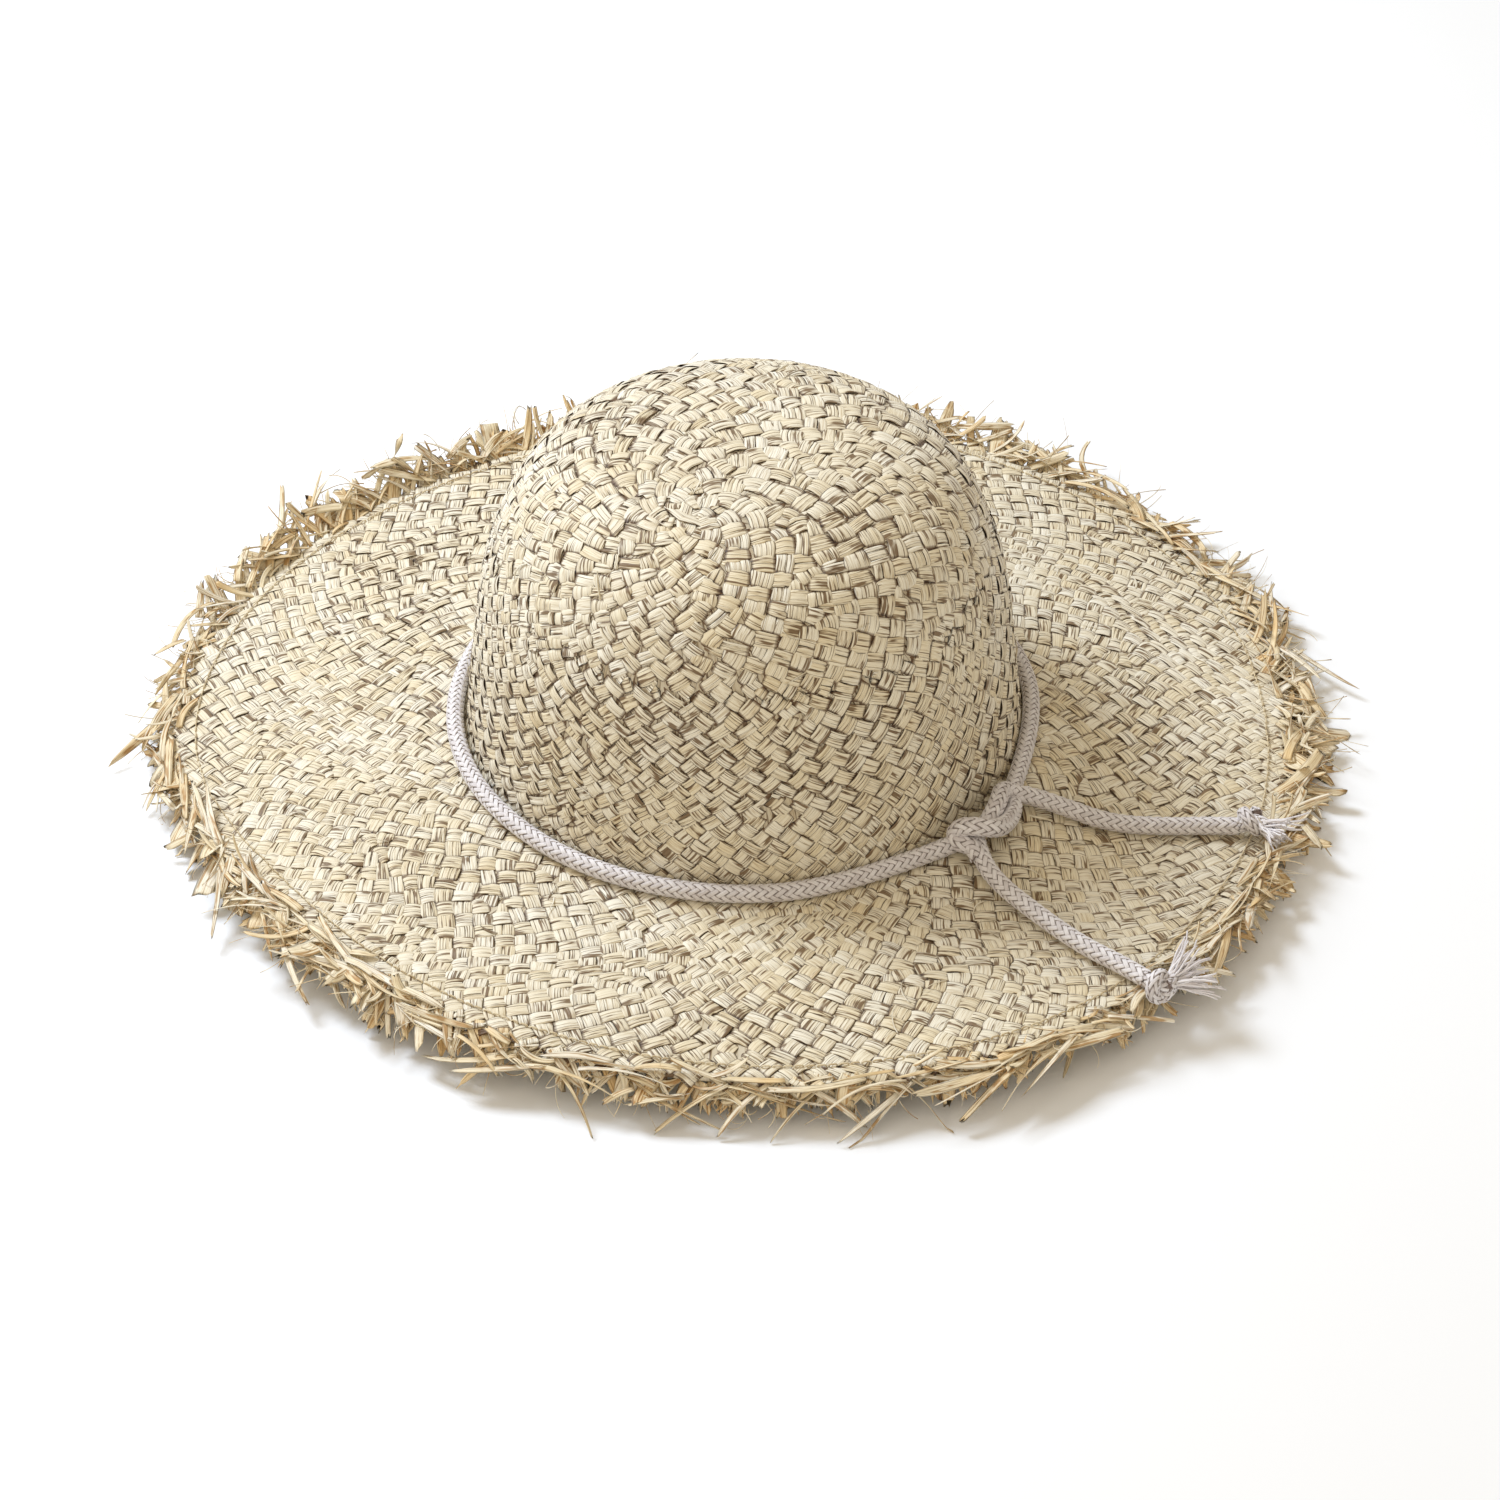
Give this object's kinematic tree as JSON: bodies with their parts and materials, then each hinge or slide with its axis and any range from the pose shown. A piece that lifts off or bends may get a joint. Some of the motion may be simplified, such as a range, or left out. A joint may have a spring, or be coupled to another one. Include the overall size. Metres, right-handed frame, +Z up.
{
  "type": "sun hat",
  "caption": "Wide-brimmed plaited straw sun hat with a frayed brim edge and a braided cord tied round the crown.",
  "frame": {"origin": "centre of the brim's outline, on the level surface that the hat stands on", "axes": "+Z up along the crown, +X to the wearer's left, -Y to the front of the hat"},
  "size_m": [0.3946, 0.3824, 0.1228],
  "materials": {
    "straw": "dry matt plaited natural straw with a faint sheen along the fibres",
    "fringe_straw": "frayed loose straw ends, golden and slightly translucent",
    "cotton_cord": "matt braided undyed cotton",
    "thread": "matt sewing thread",
    "ribbon": "ribbed grosgrain ribbon, slight sheen"
  },
  "bodies": {
    "hat": {"crown": "straw", "brim": "straw", "brim_fringe": "fringe_straw", "edge_stitching": "thread", "sweatband": "ribbon", "sweatband_stitching": "thread", "sweatband_seam_tab": "ribbon"},
    "cord": {"hat_cord": "cotton_cord", "tie_knot": "cotton_cord", "cord_tail_right": "cotton_cord", "cord_tail_front": "cotton_cord", "end_knot_right": "cotton_cord", "end_knot_front": "cotton_cord", "tassel_right": "cotton_cord", "tassel_front": "cotton_cord"}
  },
  "joints": [
    {"name": "cord_lift_off", "type": "slide", "parent": "hat", "child": "cord", "axis": [0, 0, 1], "range_m": [0, 0.15]}
  ]
}
